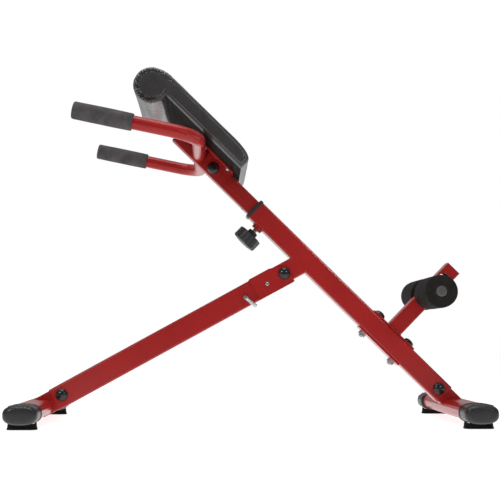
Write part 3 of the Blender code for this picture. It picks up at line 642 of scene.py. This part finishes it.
# ---------------------------------------------------------------- moulded end caps and bolt caps

CAP_CENTRE = 0.0335              # height of the moulded caps' middle
CAP_INNER, CAP_OUTER = 0.234, 0.312
CAP_POWER = 2.6                  # superellipse between an oval and a stadium
FOOT_X = 0.510
# The cap's open end, as (from its mouth, width, height): a rolled rim, a groove, then the body
CAP_RIM = ((0.0, 0.0750, 0.0420), (0.0003, 0.0780, 0.0442), (0.0016, 0.0798, 0.0458),
           (0.0085, 0.0800, 0.0460), (0.0103, 0.0792, 0.0452), (0.0112, 0.0770, 0.0432),
           (0.0135, 0.0768, 0.0431), (0.0240, 0.0778, 0.0440))


def flat_oval(width, height, count=72):
    """Outline of a moulded cap, seen from its end."""
    points = []
    for i in range(count):
        a = TAU * i / count
        c, s = math.cos(a), math.sin(a)
        points.append((width / 2 * math.copysign(abs(c) ** (2 / CAP_POWER), c),
                       height / 2 * math.copysign(abs(s) ** (2 / CAP_POWER), s)))
    return points


def cap_size(sections, y):
    """Width and height of a moulded cap at y, between the nearest two sections."""
    for (y0, w0, h0), (y1, w1, h1) in zip(sections, sections[1:]):
        if y <= y1:
            k = (y - y0) / (y1 - y0)
            return w0 + k * (w1 - w0), h0 + k * (h1 - h0)
    return sections[-1][1:]


def build_end_caps():
    """Moulded caps on the crossbars' ends, with seven ribs over their tops for grip."""
    depth = 0.019                # of the rounded outer end
    sections = [(CAP_INNER + y, width, height) for y, width, height in CAP_RIM]
    for k in range(13):
        a = math.radians(7.5 * k)
        drawn_in = (1 - math.cos(a)) ** 1.15
        sections.append((CAP_OUTER - depth * (1 - math.sin(a)), 0.0780 - 0.024 * drawn_in,
                         0.0443 - 0.019 * drawn_in))
    for place, x, body in (("front", -FOOT_X, "leg"), ("rear", FOOT_X, "frame")):
        for side, hand in HANDS:
            bm = bmesh.new()
            skin(bm, [[Vector((x + px, side * y, CAP_CENTRE + pz)) for px, pz in flat_oval(width, height)]
                      for y, width, height in sections])
            for k in range(7):
                off = (k - 3) * 0.0082
                path = []
                for j in range(17):
                    y = CAP_INNER + 0.028 + 0.0475 * j / 16
                    width, height = cap_size(sections, y)
                    rise = height / 2 * (1 - abs(2 * off / width) ** CAP_POWER) ** (1 / CAP_POWER)
                    path.append(Vector((x + off, side * y, CAP_CENTRE + rise - 0.0005)))
                tube(bm, path, 0.0021, 10,
                     swell=lambda j: 0.3 + 0.7 * min(1.0, j / 3, (16.4 - j) / 1.5))
            add_piece(f"{place}_end_cap_moulding_{hand}", bm, END_BLACK, body,
                      (f"{place}_end_cap_{hand}",), 50)


def build_bolt_caps():
    """Domed push-on caps with a rolled rim, on every cross bolt and ankle bolt."""
    spots = []
    for name, body in (("bracket_bolt", "seat"), ("hinge_bolt", "leg"), ("front_foot_bolt", "leg"),
                       ("rear_foot_bolt", "frame")):
        for side, hand in HANDS:
            node = f"{name}_cap_{hand}"
            low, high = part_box(node)
            base = low.y if side > 0 else high.y
            centre = (low + high) / 2
            spots.append((node, body, Vector((centre.x, base, centre.z)), side * ACROSS))
    for number, d in enumerate(ANKLE_BOLTS_D, 1):
        spots.append((f"ankle_bolt_cap_{number}", "frame", at_tube(d, 0.0, ANKLE_PLATE_N), OFF))
    r, height, rim = 0.0148, 0.0105, 0.0026
    profile = [(0.0001, r - 0.0010), (0.0001, r - 0.0002), (0.0006, r), (0.0016, r),
               (0.0022, r - 0.0005), (rim, r - 0.0009)]
    for k in range(1, 13):
        a = math.radians(7.3 * k)
        profile.append((rim + (height - rim) * math.sin(a), (r - 0.0009) * math.cos(a)))
    for node, body, base, axis in spots:
        bm = bmesh.new()
        turned(bm, profile, base, axis, 56)
        add_piece(f"{node}_dome", bm, CAP_BLACK, body, (node,), 40)


# ---------------------------------------------------------------- weld beads

def bead(name, path, radius, material, body):
    """Weld bead: a rippled bar round a closed path."""
    dense = []
    for a, b in zip(path, path[1:] + path[:1]):
        steps = max(1, int((b - a).length / 0.0011))
        dense += [a.lerp(b, k / steps) for k in range(steps)]

    def ripple(i):
        return 1 + 0.16 * math.sin(i * 2.1) + 0.2 * noise.noise(Vector((i * 0.21, 0, radius * 900)))

    bm = bmesh.new()
    tube(bm, dense, radius, 8, closed=True, swell=ripple)
    add_piece(name, bm, material, body)


def rounded_square(width, radius, steps=4):
    reach = width / 2 - radius
    points = []
    for x, y, start in ((1, 1, 0), (-1, 1, 90), (-1, -1, 180), (1, -1, 270)):
        points += arc((x * reach, y * reach), radius, start, start + 90, steps)
    return points


def build_welds():
    bead("ankle_post_weld", [at_tube(ANKLE_POST_D + a, b, ANKLE_PLATE_N)
                             for a, b in rounded_square(0.0405, 0.003)], 0.0016, FRAME_RED, "frame")
    bead("boss_weld", [at_tube(KNOB_D + a, b, -0.0254) for a, b in circle(0.0142, 24)], 0.0013,
         FRAME_RED, "frame")
    for side, hand in HANDS:
        bead(f"handlebar_weld_{hand}", [at_tube(HANDLE_D + a, side * 0.0203, b)
                                        for a, b in circle(0.0163, 28)], 0.0014, LIT_HANDLE_RED, "seat")


build_cushion()
build_staples()
build_rollers()
build_grips()
build_end_caps()
build_bolt_caps()
build_welds()


# ---------------------------------------------------------------- floor, light and camera

def build_stage():
    """A pale, partly self-lit floor. Its near edge is just below the camera's view."""
    floor_paint = Paint("floor", (0.42, 0.42, 0.42), 0.6, specular=0.05)
    floor_paint.tint(floor_paint.noise(2.0), 0.99, 1.0)
    floor_paint.shader.inputs["Emission Color"].default_value = (1, 1, 1, 1)
    floor_paint.shader.inputs["Emission Strength"].default_value = 0.86
    bm = bmesh.new()
    bm.faces.new([bm.verts.new((x, y, 0)) for x, y in ((-14, -1.5), (14, -1.5), (14, 20), (-14, 20))])
    mesh = bpy.data.meshes.new("floor")
    bm.to_mesh(mesh)
    bm.free()
    mesh.materials.append(floor_paint.material)
    floor = bpy.data.objects.new("floor", mesh)
    floor.location = (0, 0, -0.0002)
    bpy.context.scene.collection.objects.link(floor)


def build_world():
    """White to look at; its light on the object is brighter from behind than from the camera's side."""
    world = bpy.data.worlds.new("studio")
    bpy.context.scene.world = world
    world.use_nodes = True
    tree = world.node_tree
    sky = tree.nodes["Background"]
    out = tree.nodes["World Output"]
    white = tree.nodes.new("ShaderNodeBackground")
    white.inputs["Color"].default_value = (1, 1, 1, 1)
    white.inputs["Strength"].default_value = 1.0
    way = tree.nodes.new("ShaderNodeTexCoord")
    split = tree.nodes.new("ShaderNodeSeparateXYZ")
    tree.links.new(way.outputs["Generated"], split.inputs["Vector"])
    back = tree.nodes.new("ShaderNodeMapRange")
    tree.links.new(split.outputs["Y"], back.inputs["Value"])
    for socket, value in (("From Min", -0.7), ("From Max", 0.6), ("To Min", 0.12), ("To Max", 0.40)):
        back.inputs[socket].default_value = value
    tree.links.new(back.outputs["Result"], sky.inputs["Strength"])
    sky.inputs["Color"].default_value = (1, 1, 1, 1)
    ray = tree.nodes.new("ShaderNodeLightPath")
    mix = tree.nodes.new("ShaderNodeMixShader")
    tree.links.new(ray.outputs["Is Camera Ray"], mix.inputs["Fac"])
    tree.links.new(sky.outputs["Background"], mix.inputs[1])
    tree.links.new(white.outputs["Background"], mix.inputs[2])
    tree.links.new(mix.outputs["Shader"], out.inputs["Surface"])


def soft_box(name, place, target, width, height, power):
    """Rectangular light that faces its target."""
    data = bpy.data.lights.new(name, 'AREA')
    data.shape = 'RECTANGLE'
    data.size, data.size_y = width, height
    data.energy = power
    lamp = bpy.data.objects.new(name, data)
    lamp.location = place
    lamp.rotation_euler = (Vector(target) - Vector(place)).to_track_quat('-Z', 'Y').to_euler()
    bpy.context.scene.collection.objects.link(lamp)


def build_lights():
    soft_box("top_light", (-0.2, -0.3, 3.0), (0, 0, 0.4), 2.6, 2.0, 50)
    soft_box("left_box", (-1.9, -2.6, 1.9), (0, 0, 0.4), 0.34, 0.60, 22)
    soft_box("right_box", (1.7, -2.8, 1.7), (0.1, 0, 0.3), 0.26, 0.45, 10)


def build_camera():
    """At the photograph's viewpoint, tilted up and turned a little to centre the bench."""
    data = bpy.data.cameras.new("camera")
    data.sensor_width = 36.0
    data.lens = 84.312
    camera = bpy.data.objects.new("camera", data)
    camera.location = (-0.0895, -2.9, 0.205)
    camera.rotation_euler = (math.radians(90 + 4.24901), 0.0, math.radians(-1.85865))
    bpy.context.scene.collection.objects.link(camera)
    bpy.context.scene.camera = camera


build_stage()
build_world()
build_lights()
build_camera()
bpy.context.scene.view_settings.view_transform = 'Standard'
